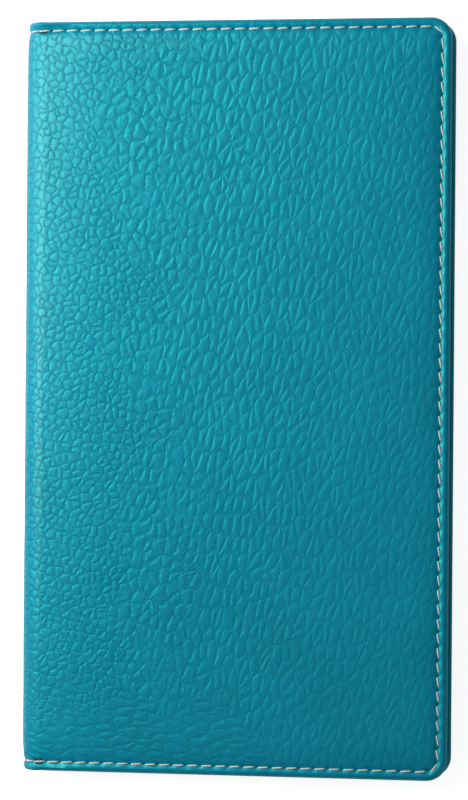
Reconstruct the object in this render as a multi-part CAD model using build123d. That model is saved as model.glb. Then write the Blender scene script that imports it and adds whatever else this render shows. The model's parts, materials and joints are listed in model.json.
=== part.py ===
"""Folding pocket calendar: a padded, stitched leather cover that holds a concertina calendar.

Lengths are in millimetres. X runs from the spine to the fore edge, Y from the tail to the
head and Z up from the table. The calendar lies shut on its back cover, and the origin is
the middle of its footprint on the table.
"""

from build123d import *
import os
from math import cos, degrees, pi, radians, sin, tan

# Cover outline
cover_width = 92.0
cover_height = 160.0
corner_radius = 4.5
edge_roll_radius = 0.9
inner_edge_radius = 0.3

# Layers of one cover, from the outside in
leather_thickness = 0.9
padding_thickness = 0.4
board_thickness = 0.6
turn_in_thickness = 0.4
lining_thickness = 0.25
pocket_thickness = 0.45

# Border round the padding, and what is folded or cut back from the edges
border_width = 3.2
padding_ramp_width = 2.4
padding_corner_radius = 3.0
turn_in_width = 9.0
leather_edge_thickness = 0.9
lining_inset = 1.0
board_setback = 2.0
hem_width = 1.8
pocket_width = 53.0

# Spine of flexible leather, held as narrow slats between creases
slat_count = 3
crease_clearance = 0.05

# Seam
seam_inset = 2.0
stitch_pitch = 3.05
stitch_length = 2.2
thread_width = 0.42
thread_proud = 0.22
stitch_tilt_deg = 5.0

# Concertina calendar: leaves folded double at the fore edge, between two stiff end cards
leaf_count = 6
card_setback = 2.0
paper_thickness = 0.2
fold_gap = 0.06
leaf_gap = 0.06
leaf_hinge_setback = 1.0
leaf_root_setback = 0.8
card_thickness = 0.3
card_corner_radius = 3.0
card_clearance = 0.1
pocket_side_clearance = 0.2
pocket_end_clearance = 1.2
block_clearance = 0.1

# One overrun serves every cut
overrun = 5.0

# Depths below the outermost face of a cover, worked out from the layers
border_depth = padding_thickness
board_depth = leather_thickness + padding_thickness
turn_in_depth = board_depth + board_thickness
lining_depth = turn_in_depth + turn_in_thickness
lining_face_depth = lining_depth + lining_thickness
card_depth = lining_face_depth + card_clearance
pocket_depth = card_depth + card_thickness + card_clearance
pocket_face_depth = pocket_depth + pocket_thickness
block_depth = pocket_face_depth + block_clearance
leaf_thickness = 2 * paper_thickness + fold_gap
leaf_pitch = leaf_thickness + leaf_gap
block_thickness = leaf_count * leaf_pitch - leaf_gap
closed_thickness = 2 * block_depth + block_thickness

# Spine polygon: equal turns at every crease, seen along Y
half_turn_deg = 180
crease_angle = half_turn_deg / (slat_count + 1)
slat_rise_share = sum(sin(radians(crease_angle * (k + 1))) for k in range(slat_count))
slat_length = closed_thickness / slat_rise_share
slat_reach_share = sum(max(0, cos(radians(crease_angle * (k + 1)))) for k in range(slat_count))
crease_x = slat_length * slat_reach_share - cover_width / 2
mitre_tangent = tan(radians(crease_angle / 2))

# Places along X that several pieces share
board_spine_x = crease_x + board_setback
pocket_inner_x = cover_width / 2 - lining_inset - hem_width
pocket_inner_y = cover_height / 2 - lining_inset - hem_width
pocket_mouth_x = cover_width / 2 - lining_inset - pocket_width
paper_fore_x = pocket_inner_x - pocket_side_clearance
fold_x = crease_x + card_setback
panel_width = paper_fore_x - fold_x
panel_height = 2 * (pocket_inner_y - pocket_end_clearance)
leaf_hinge_x = fold_x - leaf_hinge_setback
leaf_start_x = leaf_hinge_x + leaf_root_setback


def crease_points():
    """The creases on the spine's outer face, from the back cover to the front cover."""
    points = [(crease_x, 0)]
    for k in range(slat_count):
        turn = radians(crease_angle * (k + 1))
        x, z = points[-1]
        points.append((x - slat_length * cos(turn), z + slat_length * sin(turn)))
    return points


def outline(spine_x, inset, radius):
    """A cover's outline, drawn in by inset, with its two fore corners rounded."""
    fore_x = cover_width / 2 - inset
    height = cover_height - 2 * inset
    sheet = Pos((spine_x + fore_x) / 2, 0) * Rectangle(fore_x - spine_x, height)
    return fillet(sheet.vertices().sort_by(Axis.X)[-2:], radius)


def layer(spine_x, inset, radius, low, high):
    """A flat layer of the cover between two depths."""
    return Pos(0, 0, low) * extrude(outline(spine_x, inset, radius), high - low)


def pillow(spine_x, low):
    """The raised field that the padding makes, with a ramp down to the border."""
    crown = outline(spine_x, border_width + padding_ramp_width, padding_corner_radius)
    foot = outline(spine_x, border_width, padding_corner_radius)
    return Pos(0, 0, low) * loft([crown.face(), Pos(0, 0, padding_thickness) * foot.face()], ruled=True)


def prism(points, length):
    """A prism along Y over an outline of (x, z) points, centred on the middle of the cover."""
    return extrude(Plane.XZ * make_face(Polyline(*points, close=True)), length / 2, both=True)


def beyond_crease():
    """The space on the spine's side of the back crease, bounded by the mitre between both."""
    top = closed_thickness
    return prism(
        [
            (crease_x - overrun, -overrun),
            (crease_x + crease_clearance - overrun * mitre_tangent, -overrun),
            (crease_x + crease_clearance + top * mitre_tangent, top),
            (crease_x - overrun, top),
        ],
        cover_height + 2 * overrun,
    )


def step_space(high, inset):
    """The space beside the board's spine edge, where the lining steps down to the leather."""
    width = board_setback + overrun
    return Pos(board_spine_x - width / 2, 0, (leather_thickness + high) / 2) * Box(
        width, cover_height - 2 * inset, high - leather_thickness
    )


def cover_leather():
    """Outer leather: padded field, rolled edges and the turn-ins folded over the board."""
    border = layer(crease_x, 0, corner_radius, border_depth, lining_depth)
    outer_rim = border.faces().sort_by(Axis.Z)[0].edges().filter_by(lambda e: e.center().X > crease_x)
    border = fillet(outer_rim, edge_roll_radius)
    inner_rim = border.faces().sort_by(Axis.Z)[-1].edges().filter_by(lambda e: e.center().X > crease_x)
    border = fillet(inner_rim, inner_edge_radius)
    skin = border + pillow(crease_x, 0)
    skin -= pillow(board_spine_x, leather_thickness)
    skin -= cover_board()
    window_radius = padding_corner_radius
    skin -= layer(board_spine_x - board_setback - overrun, turn_in_width, window_radius, turn_in_depth, lining_depth)
    skin -= step_space(lining_depth, turn_in_width)
    return skin - beyond_crease()


def cover_board():
    """Stiffening board, let into the leather."""
    radius = corner_radius - leather_edge_thickness
    return layer(board_spine_x, leather_edge_thickness, radius, board_depth, turn_in_depth)


def cover_lining():
    """Lining: a sheet over the turn-ins that fills their window and steps down at the spine."""
    riser_x = board_spine_x - lining_thickness
    radius = corner_radius - lining_inset
    sheet = layer(riser_x, lining_inset, radius, lining_depth, lining_face_depth)
    sheet += layer(riser_x, turn_in_width, padding_corner_radius, turn_in_depth, lining_depth)
    foot_top = leather_thickness + lining_thickness
    run_height = cover_height - 2 * turn_in_width
    riser_middle = (leather_thickness + lining_face_depth) / 2
    sheet += Pos(riser_x + lining_thickness / 2, 0, riser_middle) * Box(
        lining_thickness, run_height, lining_face_depth - leather_thickness
    )
    foot_width = board_spine_x - crease_x
    sheet += Pos(crease_x + foot_width / 2, 0, (leather_thickness + foot_top) / 2) * Box(
        foot_width, run_height, lining_thickness
    )
    return sheet - beyond_crease()


def pocket_sheet():
    """Slip pocket: a sheet with its mouth towards the spine."""
    radius = corner_radius - lining_inset
    return layer(pocket_mouth_x, lining_inset, radius, pocket_depth, pocket_face_depth)


def pocket_hems():
    """The pocket's folded hems: head, tail and fore edge, which the seam goes through."""
    radius = corner_radius - lining_inset
    sheet = layer(pocket_mouth_x, lining_inset, radius, lining_face_depth, pocket_depth)
    depth = pocket_depth - lining_face_depth
    middle = (pocket_depth + lining_face_depth) / 2
    side_width = lining_inset + hem_width
    side = Pos(pocket_inner_x + side_width / 2, 0, middle) * Box(side_width, cover_height, depth)
    mouth_to_side = pocket_inner_x - pocket_mouth_x
    ends = [
        Pos((pocket_mouth_x + pocket_inner_x) / 2, way * (pocket_inner_y + side_width / 2), middle)
        * Box(mouth_to_side, side_width, depth)
        for way in (-1, 1)
    ]
    return Compound([(sheet & block).solid() for block in [side, *ends]])


def end_card():
    """Stiff end of the concertina, which slips into the pocket."""
    sheet = Pos((fold_x + paper_fore_x) / 2, 0) * Rectangle(panel_width, panel_height)
    sheet = fillet(sheet.vertices().sort_by(Axis.X)[-2:], card_corner_radius)
    return Pos(0, 0, card_depth) * extrude(sheet, card_thickness)


def seam_runs():
    """The seam's runs, head to tail: (length, function from distance to x, y and heading)."""
    fore_x = cover_width / 2 - seam_inset
    head_y = cover_height / 2 - seam_inset
    radius = corner_radius - seam_inset
    start_x = crease_x + stitch_pitch / 2
    straight = fore_x - radius - start_x
    side = 2 * (head_y - radius)
    quarter = pi * radius / 2
    return [
        (straight, lambda s: (start_x + s, head_y, 0)),
        (
            quarter,
            lambda s: (
                fore_x - radius + radius * sin(s / radius),
                head_y - radius + radius * cos(s / radius),
                -s / radius,
            ),
        ),
        (side, lambda s: (fore_x, head_y - radius - s, -pi / 2)),
        (
            quarter,
            lambda s: (
                fore_x - radius + radius * cos(s / radius),
                radius - head_y - radius * sin(s / radius),
                -pi / 2 - s / radius,
            ),
        ),
        (straight, lambda s: (fore_x - radius - s, -head_y, -pi)),
    ]


def seam_places():
    """Middle and heading of every stitch of a cover, evenly spaced along the seam."""
    runs = seam_runs()
    total = sum(length for length, _ in runs)
    count = round(total / stitch_pitch)
    places = []
    for k in range(count + 1):
        along = total * k / count
        for length, place in runs:
            if along <= length or place is runs[-1][1]:
                places.append(place(min(along, length)))
                break
            along -= length
    return places


def stitch(x, y, heading, low, tilt=stitch_tilt_deg):
    """One stitch lying on a face, turned a little across the seam as lock stitches lie."""
    shape = extrude(SlotOverall(stitch_length, thread_width), thread_proud)
    return Pos(x, y, low) * Rot(0, 0, degrees(heading) + tilt) * shape


def needle_thread():
    """Outer stitches, which lie on the border below the level of the padded field."""
    low = border_depth - thread_proud
    return Compound([stitch(*place, low).solid() for place in seam_places()])


def bobbin_thread():
    """Inner stitches, on the pocket and, nearer the spine, on the lining."""
    stitches = []
    for x, y, heading in seam_places():
        if x - stitch_length / 2 < board_spine_x:
            continue
        low = pocket_face_depth if x > pocket_mouth_x else lining_face_depth
        stitches.append(stitch(x, y, heading, low, -stitch_tilt_deg).solid())
    return Compound(stitches)


def slat_section(start, end, outer, inner, clearance):
    """Section of a spine layer between two creases, from its outer depth to its inner one."""
    run_x = (end[0] - start[0]) / slat_length
    run_z = (end[1] - start[1]) / slat_length

    def at(origin, back, depth):
        drawn_in = clearance + depth * mitre_tangent
        x = origin[0] + back * drawn_in * run_x + depth * run_z
        z = origin[1] + back * drawn_in * run_z - depth * run_x
        return (x, z)

    return [at(start, 1, outer), at(end, -1, outer), at(end, -1, inner), at(start, 1, inner)]


def slat_leather(start, end):
    """One slat of spine leather, thinned to the border's level at head and tail."""
    field = prism(
        slat_section(start, end, 0, leather_thickness, crease_clearance),
        cover_height - 2 * border_width,
    )
    border = prism(
        slat_section(start, end, border_depth, leather_thickness, crease_clearance),
        cover_height,
    )
    return field + border


def slat_lining(start, end):
    """Lining on the inside of one slat."""
    inner = leather_thickness + lining_thickness
    return prism(
        slat_section(start, end, leather_thickness, inner, crease_clearance),
        cover_height - 2 * lining_inset,
    )


def slat_thread(start, end):
    """The seam's stitch at head and tail of one slat."""
    middle_x = (start[0] + end[0]) / 2
    middle_z = (start[1] + end[1]) / 2
    run_x = (end[0] - start[0]) / slat_length
    run_z = (end[1] - start[1]) / slat_length
    face = Plane(
        origin=(middle_x + border_depth * run_z, 0, middle_z - border_depth * run_x),
        x_dir=(run_x, 0, run_z),
        z_dir=(-run_z, 0, run_x),
    )
    shape = extrude(SlotOverall(stitch_length, thread_width), thread_proud)
    seam_y = cover_height / 2 - seam_inset
    return Compound([(face * Pos(0, way * seam_y) * shape).solid() for way in (-1, 1)])


def leaf(number):
    """One leaf: two panels joined by the fore-edge fold. Leaf 1 lies next to the back cover."""
    low = block_depth + (number - 1) * leaf_pitch
    high = low + leaf_thickness
    inner_x = paper_fore_x - paper_thickness
    return prism(
        [
            (leaf_start_x, low),
            (paper_fore_x, low),
            (paper_fore_x, high),
            (leaf_start_x, high),
            (leaf_start_x, high - paper_thickness),
            (inner_x, high - paper_thickness),
            (inner_x, low + paper_thickness),
            (leaf_start_x, low + paper_thickness),
        ],
        panel_height,
    )


def all_nodes():
    """Every node's name and shape."""
    middle = Plane.XY.offset(closed_thickness / 2)
    one_cover = {
        "leather": cover_leather(),
        "padding": pillow(board_spine_x, leather_thickness),
        "board": cover_board(),
        "lining": cover_lining(),
        "pocket": pocket_sheet(),
        "pocket_hems": pocket_hems(),
        "needle_thread": needle_thread(),
        "bobbin_thread": bobbin_thread(),
    }
    nodes = {}
    for name, shape in one_cover.items():
        nodes[f"back_{name}"] = shape
        nodes[f"front_{name}"] = mirror(shape, about=middle)
    nodes["calendar_back_card"] = end_card()
    nodes["calendar_front_card"] = mirror(end_card(), about=middle)
    creases = crease_points()
    for k in range(slat_count):
        nodes[f"spine_leather_{k + 1}"] = slat_leather(creases[k], creases[k + 1])
        nodes[f"spine_lining_{k + 1}"] = slat_lining(creases[k], creases[k + 1])
        nodes[f"spine_thread_{k + 1}"] = slat_thread(creases[k], creases[k + 1])
    for number in range(1, leaf_count + 1):
        nodes[f"calendar_leaf_{number}"] = leaf(number)
    return nodes


def main():
    os.makedirs("parts", exist_ok=True)
    for name, shape in all_nodes().items():
        export_step(shape, f"parts/{name}.step")


main()
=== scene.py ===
"""Dresses the folding pocket calendar: grained leather cover, seam, lining, cards and paper."""

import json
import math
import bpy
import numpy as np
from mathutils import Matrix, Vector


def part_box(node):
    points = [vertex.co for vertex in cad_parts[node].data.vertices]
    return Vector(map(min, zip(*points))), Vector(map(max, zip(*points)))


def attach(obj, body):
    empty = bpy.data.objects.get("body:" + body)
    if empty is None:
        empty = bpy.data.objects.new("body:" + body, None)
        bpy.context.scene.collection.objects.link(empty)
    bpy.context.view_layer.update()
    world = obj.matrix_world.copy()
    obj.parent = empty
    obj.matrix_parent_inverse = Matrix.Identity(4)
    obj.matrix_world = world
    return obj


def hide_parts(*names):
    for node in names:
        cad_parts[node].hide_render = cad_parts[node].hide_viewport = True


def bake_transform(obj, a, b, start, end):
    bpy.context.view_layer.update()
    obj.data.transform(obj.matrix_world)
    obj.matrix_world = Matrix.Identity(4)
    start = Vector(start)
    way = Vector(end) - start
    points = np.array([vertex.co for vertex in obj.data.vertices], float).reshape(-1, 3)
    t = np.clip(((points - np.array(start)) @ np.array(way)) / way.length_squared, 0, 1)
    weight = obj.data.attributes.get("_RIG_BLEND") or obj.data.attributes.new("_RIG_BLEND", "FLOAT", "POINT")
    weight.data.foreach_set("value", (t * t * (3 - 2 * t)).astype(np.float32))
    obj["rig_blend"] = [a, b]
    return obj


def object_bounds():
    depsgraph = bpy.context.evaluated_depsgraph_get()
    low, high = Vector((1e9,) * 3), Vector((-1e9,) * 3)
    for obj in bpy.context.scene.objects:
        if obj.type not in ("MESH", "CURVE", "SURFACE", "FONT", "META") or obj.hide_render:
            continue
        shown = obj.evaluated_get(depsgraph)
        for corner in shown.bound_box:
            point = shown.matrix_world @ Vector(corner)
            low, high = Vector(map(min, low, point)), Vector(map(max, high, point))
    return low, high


bl_info = {
    "name": "Folding pocket calendar",
    "version": (1, 0, 0),
    "blender": (4, 5, 0),
    "location": "3D View > Sidebar > Calendar",
    "description": "Dresses a folding pocket calendar in grained leather, thread and printed paper",
    "category": "Object",
}

import bmesh
import bpy
from bpy.props import FloatProperty, FloatVectorProperty, IntProperty, PointerProperty
from bpy.types import Operator, Panel, PropertyGroup
from mathutils import Matrix, Vector, noise

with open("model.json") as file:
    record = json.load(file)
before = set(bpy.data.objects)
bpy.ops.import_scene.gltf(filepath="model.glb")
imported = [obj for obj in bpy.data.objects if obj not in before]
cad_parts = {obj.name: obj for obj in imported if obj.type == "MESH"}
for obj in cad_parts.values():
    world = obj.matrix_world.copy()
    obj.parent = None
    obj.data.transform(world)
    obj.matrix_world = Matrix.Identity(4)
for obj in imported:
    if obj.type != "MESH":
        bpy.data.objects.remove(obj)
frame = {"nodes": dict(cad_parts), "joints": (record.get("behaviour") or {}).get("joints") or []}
CAD_BOX = [list(corner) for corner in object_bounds()]

# Places read from the frame, in metres
HALF_WIDTH = CAD_BOX[1][0]
HALF_HEIGHT = CAD_BOX[1][1]
THICKNESS = CAD_BOX[1][2]
CREASES = [j for j in frame["joints"] if j["name"].startswith("crease")]
SLAT_COUNT = len(CREASES) - 1
BOARD_LOW, BOARD_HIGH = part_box("back_board")
LINING_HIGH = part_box("back_lining")[1]
LEATHER_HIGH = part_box("back_leather")[1]
LEAF_NODES = sorted(name for name in frame["nodes"] if name.startswith("calendar_leaf"))
CHAIN = ["back_cover"] + [f"spine_{k + 1}" for k in range(SLAT_COUNT)] + ["front_cover"]

MM = 0.001
QUARTER = math.pi / 2
WELD = 0.0001 * MM
NEAR_SHARE = 0.1
SHARP_ANGLE = math.radians(50)

# Leather and lining, from the outer face inwards
SKIN = 0.9 * MM
FOOT_HIGH = 1.15 * MM
TURN_IN = 9 * MM
TURN_IN_CORNER = 0.6 * MM
HEM_STEP = 0.3 * MM

# The rolled edge starts this far in. Each ring of it is (inset, depth), as shares of that width
# and of the depth from the border's top to the leather's inner edge.
EDGE_START = 1.15 * MM
EDGE_SHARES = (
    (0.66, 0.03), (0.4, 0.12), (0.19, 0.26), (0.05, 0.42), (0.0, 0.58),
    (0.03, 0.74), (0.14, 0.87), (0.34, 0.96), (0.62, 1.0), (1.0, 1.0),
)

# The padded surface: how it rises from the seam, falls to the spine, swells and is pinched
FIELD_POWER = 1.25
SPINE_POWER = 2.2
SPINE_FADE = 6 * MM
FINE_SWELL = 0.5
FINE_SWELL_LENGTH = 0.4
HOLE_SHARE = 0.7
PINCH_LIMIT = 3
STRAIGHT_STEPS = 3
BEND_STEPS = 10

# How much of the grain is left on the pressed border, and where it comes in, in seam insets
BORDER_GRAIN = 0.45
GRAIN_FROM = 0.9
GRAIN_TO = 1.9

# A stitch: how far its middle stands over the bed and its ends dive, in radii, and its taper
THREAD_LIFT = 0.55
THREAD_DIVE = 2.6
DIVE_POWER = 5
STITCH_TAPER = 0.22
INNER_STITCH = 0.85
INNER_SEAM_BED = 3.5 * MM

# The grain: the round, oval and drawn-out pebbles and those along the tail. Each kind has the
# wander of its outline, the reach of its groove, its rise from the groove, the height of its
# crown and the reach of its crease line, a line of painted shade that darkens the groove.
# Wander and reach are in pebble widths.
PEBBLE_KINDS = (
    (0.6, 0.25, 0.6, 0.45, 0.12),
    (0.5, 0.3, 0.5, 0.6, 0.13),
    (0.4, 0.34, 0.4, 0.5, 0.14),
    (0.6, 0.36, 0.4, 0.5, 0.13),
)
DRIFT_SCALE = 1.1
DRIFT_DETAIL = 2.0
PEBBLE_RANDOMNESS = 0.9
ROUND_LEAN = 0.3
TAIL_LEAN = 0.12
OVAL_WIDTH = 1.2
OVAL_LENGTH = 0.75
FINE_RISE = 0.24
CRACK_LEAN = 1.1
CRACK_WANDER = 0.8
CRACK_LINE = 0.7
CRACK_DEPTH = 0.3

# Where one kind gives way to the next: the wander of that place and each change's width, in metres
PATCH_WANDER = 0.05
OVAL_CHANGE = 0.008
DRAWN_CHANGE = 0.012
TAIL_CHANGE = 0.004

# Ramps of the grain: (from, to, value before, value after)
GROOVE_FADE = (0.36, 0.6, 0.35, 1.15)
LINE_FADE = (0.36, 0.6, 0.35, 1.0)
NEAR_CREASE = (0.05, 0.32, 1.0, 0.1)
CRACK_EDGE = (0.0, 0.18, 1.0, 0.0)
TAIL_END = (0.0, 0.02, 1.0, 0.0)
# FORE_LINE fades the creases' painted shade, and their rougher finish, towards the fore edge.
FORE_LINE = (-0.01, 0.04, 1.0, 0.35)
SPINE_RELIEF = (-0.034, -0.02, 0.6, 0.72)
FORE_RELIEF = (-0.004, 0.03, 1.0, 0.78)

# Leather, cloth and thread
MOTTLE = (0.3, 0.7)
LEATHER_IOR = 1.8
LEATHER_TINT = (0.03, 1.0, 0.7, 1.0)
CREASE_FULL = 0.7
# Needle holes take the crease colour darkened by this factor: painted shade inside the holes.
HOLE_SHADE_TONE = 0.35
POCKET_GRAIN = 1500.0
SLUB_RISE = 0.3
PLY_TURNS = 4.0
PLIES = 2.0

# Page printing
DAYS = 31
PAGE_FOOT = -73 * MM
PAGE_HALF = 39.5 * MM
MARGIN_X = 32 * MM
FIGURE_X = -34 * MM
FIGURE_DROP = 0.36
MONTH_SIZE = 2.6
MONTH_RISE = 2.5 * MM
RULE_WIDTH = 0.17 * MM
RULE_INK = 0.5
INK_RISE = 0.008 * MM
INK_GAP = 0.006 * MM

# Stage
FLOOR_HALF = 3.0
FLOOR_GLOW = 0.8
ROOM_GLOSS = 0.03
SENSOR = 36.0
CLIP_START = 0.01
FLOOR_COLOUR = (0.8, 0.8, 0.8)
AIM = Vector((-0.53 * MM, -0.5 * MM, THICKNESS / 2))
WHITE = (1.0, 1.0, 1.0, 1.0)


def length_prop(name, description, millimetres):
    """A property that holds a length, given in millimetres."""
    return FloatProperty(name=name, description=description, default=millimetres * MM, unit="LENGTH")


def angle_prop(name, description, degrees):
    """A property that holds an angle, given in degrees."""
    return FloatProperty(
        name=name, description=description, default=math.radians(degrees), unit="ROTATION"
    )


def number_prop(name, description, value):
    """A property that holds a plain number."""
    return FloatProperty(name=name, description=description, default=value)


def count_prop(name, description, value):
    """A property that holds a whole number."""
    return IntProperty(name=name, description=description, default=value)


def colour_prop(name, description, value):
    """A property that holds a colour."""
    return FloatVectorProperty(name=name, description=description, default=value, subtype="COLOR")


class CoverSettings(PropertyGroup):
    """Sizes of the leather cover's surface."""

    mesh_step: length_prop("Mesh step", "Spacing of the leather mesh", 0.42)
    corner_radius: length_prop("Corner radius", "Radius of the fore corners", 4.5)
    field_inset: length_prop("Field inset", "Where the padding is at its full height", 8.5)
    field_rise: length_prop("Field rise", "Height of the padded field over the seam", 0.46)
    border_depth: length_prop("Border depth", "Depth of the rolled border's top", 0.3)
    groove_depth: length_prop("Groove depth", "Depth of the seam below its sides", 0.16)
    groove_width: length_prop("Groove width", "Half width of the seam's groove", 0.42)
    pinch_depth: length_prop("Pinch depth", "How far the thread pulls the leather in", 0.15)
    pinch_reach: length_prop("Pinch reach", "Half width of a pinch across the seam", 0.95)
    swell: length_prop("Swell", "Uneven height of the padding", 0.1)
    swell_length: length_prop("Swell length", "Distance from swell to swell", 14)
    spine_drop: length_prop("Spine drop", "How far the cover falls towards the spine", 0.5)
    spine_reach: length_prop("Spine reach", "Width of that fall", 14)
    spine_bend: length_prop("Spine bend", "Length of leather bent at each crease", 1.95)


class SeamSettings(PropertyGroup):
    """Sizes of the seam."""

    inset: length_prop("Inset", "Distance of the seam from the edge", 2.0)
    pitch: length_prop("Pitch", "Distance from stitch to stitch", 3.05)
    stitch_length: length_prop("Stitch length", "Length of thread that shows", 2.45)
    thread_width: length_prop("Thread width", "Diameter of the thread", 0.34)
    tilt: angle_prop("Tilt", "Turn of a stitch across the head and tail seams", 4)
    fore_tilt: angle_prop("Fore tilt", "Turn of a stitch across the fore seam", 11)
    sides: count_prop("Sides", "Faces round a stitch", 8)
    rings: count_prop("Rings", "Rings along a stitch", 8)


class LeatherSettings(PropertyGroup):
    """Colours and grain of the leather."""

    colour: colour_prop("Colour", "Colour of the pebbles", (0.002, 0.242, 0.378))
    # The crease colour is painted shade: it darkens the creases, cracks and needle holes where shade falls.
    crease_colour: colour_prop("Crease colour", "Colour in the creases", (0.002, 0.15, 0.24))
    roughness: number_prop("Roughness", "Roughness of the pebbles", 0.36)
    crease_roughness: number_prop("Crease roughness", "How much rougher the creases are", 0.4)
    coat: number_prop("Coat", "Strength of the clear finish", 0.4)
    coat_roughness: number_prop("Coat roughness", "Roughness of the clear finish", 0.3)
    pebble_size: length_prop("Pebble size", "Size of the round pebbles", 1.85)
    drawn_width: length_prop("Drawn width", "Width of the drawn-out pebbles", 1.9)
    drawn_length: length_prop("Drawn length", "Length of the drawn-out pebbles", 4.0)
    drawn_lean: angle_prop("Drawn lean", "Lean of the drawn-out pebbles", 13)
    relief: length_prop("Relief", "Height of the pebbles", 0.15)
    change_from: length_prop("Change from", "Where the round pebbles start to draw out", -27)
    change_to: length_prop("Change to", "Where all pebbles are drawn out", -19)
    tail: length_prop("Tail", "Below this the pebbles are drawn out along the tail", -64)


class InsideSettings(PropertyGroup):
    """Colours and sizes of the thread, the cloth and what the cover holds."""

    paper: colour_prop("Paper", "Colour of the calendar leaves", (0.8, 0.78, 0.72))
    card: colour_prop("Card", "Colour of the end cards", (0.8, 0.77, 0.68))
    ink: colour_prop("Ink", "Colour of the printing", (0.03, 0.12, 0.16))
    board: colour_prop("Board", "Colour of the stiffening boards", (0.42, 0.36, 0.28))
    foam: colour_prop("Foam", "Colour of the padding", (0.78, 0.76, 0.7))
    lining: colour_prop("Lining", "Colour of the lining cloth", (0.006, 0.16, 0.2))
    thread: colour_prop("Thread", "Colour of the sewing thread", (0.86, 0.82, 0.71))
    pocket: colour_prop("Pocket", "Colour of the pockets' leather", (0.004, 0.24, 0.31))
    weave_pitch: length_prop("Weave pitch", "Distance from thread to thread in the lining", 0.32)
    weave_rise: length_prop("Weave rise", "Height of the lining's threads", 0.06)
    line_pitch: length_prop("Line pitch", "Distance between the days' lines", 4.4)
    figure_size: length_prop("Figure size", "Height of a line of day numbers", 3.0)


class StageSettings(PropertyGroup):
    """Camera and lights."""

    camera_distance: length_prop("Camera distance", "From the cover to the camera", 700)
    camera_turn: angle_prop("Camera turn", "Turn of the camera towards the fore edge", 10)
    camera_roll: angle_prop("Camera roll", "Roll of the camera", 0.44)
    lens: number_prop("Lens", "Focal length in millimetres", 148.05)
    key_energy: number_prop("Key light", "Power of the key light in watts", 0.74)
    rake_energy: number_prop("Raking light", "Power of the low light from the left, in watts", 0.62)
    fill_energy: number_prop("Fill light", "Power of the low fill from the right, in watts", 0.25)
    world_strength: number_prop("World", "Strength of the sky's fill", 0.25)


def settings(name):
    """One of the scene's groups of settings."""
    return getattr(bpy.context.scene, "calendar_" + name)


def smooth(value, low, high):
    """Smooth step from 0 at low to 1 at high."""
    t = min(1.0, max(0.0, (value - low) / (high - low)))
    return t * t * (3 - 2 * t)


# Seam places, shared by the leather's pinches and by the thread


def seam_layout():
    """Stitches of one cover as (x, y, heading), with a stitch in the middle of each fore corner."""
    seam = settings("seam")
    radius = settings("cover").corner_radius - seam.inset
    fore, head = HALF_WIDTH - seam.inset, HALF_HEIGHT - seam.inset
    start = CREASES[0]["pos_m"][0] + seam.pitch / 2
    straight = fore - radius - start
    half_corner = radius * QUARTER / 2
    side = 2 * (head - radius)

    def head_corner(turn):
        return (fore - radius + radius * math.sin(turn), head - radius + radius * math.cos(turn), -turn)

    def head_leg(s):
        return (start + s, head, 0.0) if s <= straight else head_corner((s - straight) / radius)

    def fore_leg(s):
        turn = QUARTER / 2 + s / radius
        if turn < QUARTER:
            return head_corner(turn)
        s -= half_corner
        if s <= side:
            return (fore, head - radius - s, -QUARTER)
        turn = (s - side) / radius
        x, y = fore - radius + radius * math.cos(turn), radius - head - radius * math.sin(turn)
        return (x, y, -QUARTER - turn)

    head_length = straight + half_corner
    head_count = round(head_length / seam.pitch)
    fore_length = side + 2 * half_corner
    fore_count = round(fore_length / seam.pitch)
    places = [head_leg(head_length * k / head_count) for k in range(head_count + 1)]
    places += [fore_leg(fore_length * k / fore_count) for k in range(1, fore_count)]
    return places + [(x, -y, -2 * QUARTER - turn) for x, y, turn in reversed(places[: head_count + 1])]


def hole_cells():
    cell = settings("seam").pitch
    cells = {}
    places = seam_layout()
    for a, b in zip(places, places[1:]):
        x, y = (a[0] + b[0]) / 2, (a[1] + b[1]) / 2
        cells.setdefault((round(x / cell), round(y / cell)), []).append((x, y))
    return cell, cells


def nearest_hole(x, y, cell, cells):
    """Distance from a point to the nearest needle hole, or infinity where none is near."""
    i, j = round(x / cell), round(y / cell)
    near = (spot for di in (-1, 0, 1) for dj in (-1, 0, 1) for spot in cells.get((i + di, j + dj), ()))
    return min((math.hypot(x - hx, y - hy) for hx, hy in near), default=math.inf)


# The cover's leather


def inset_of(x, y):
    """Distance of a point from the nearest of the head, tail and fore edges."""
    return min(HALF_WIDTH - x, HALF_HEIGHT - abs(y))


def surface_depth(x, y, inset, holes):
    """Depth of the leather's surface below the outermost face, and how deep in a needle hole it is."""
    cover, seam = settings("cover"), settings("seam")
    if inset >= seam.inset:
        share = min(1.0, (inset - seam.inset) / (cover.field_inset - seam.inset))
        depth = cover.field_rise * (1 - math.sin(share * QUARTER)) ** FIELD_POWER
    else:
        share = (seam.inset - inset) / (seam.inset - EDGE_START)
        depth = cover.field_rise + (cover.border_depth - cover.field_rise) * math.sin(share * QUARTER)
    across = (inset - seam.inset) / cover.groove_width
    depth += cover.groove_depth * math.exp(-across * across)
    hole = 0.0
    if abs(inset - seam.inset) < PINCH_LIMIT * cover.pinch_reach:
        distance = nearest_hole(x, y, *holes)
        wide = distance / cover.pinch_reach
        narrow = distance / (HOLE_SHARE * seam.thread_width)
        hole = math.exp(-narrow * narrow)
        depth += cover.pinch_depth * (math.exp(-wide * wide) + hole)
    if x >= BOARD_LOW.x:
        depth += cover.spine_drop * max(0.0, 1 - (x - BOARD_LOW.x) / cover.spine_reach) ** SPINE_POWER
    else:
        beyond = BOARD_LOW.x - x
        slope = 1 + SPINE_POWER * beyond / cover.spine_reach
        depth += cover.spine_drop * slope * (1 - smooth(beyond, 0, SPINE_FADE))
    calm = smooth(inset, seam.inset, cover.field_inset)
    place = Vector((x, y, 0))
    swell = noise.noise(place / cover.swell_length)
    swell += FINE_SWELL * noise.noise(place / (FINE_SWELL_LENGTH * cover.swell_length))
    return depth + cover.swell * calm * (0.5 - 0.5 * swell), hole


def edge_depth(share, total):
    """Depth of a ring of the rolled edge, where the leather goes down to total."""
    border = settings("cover").border_depth
    return border + share * (total - border)


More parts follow.
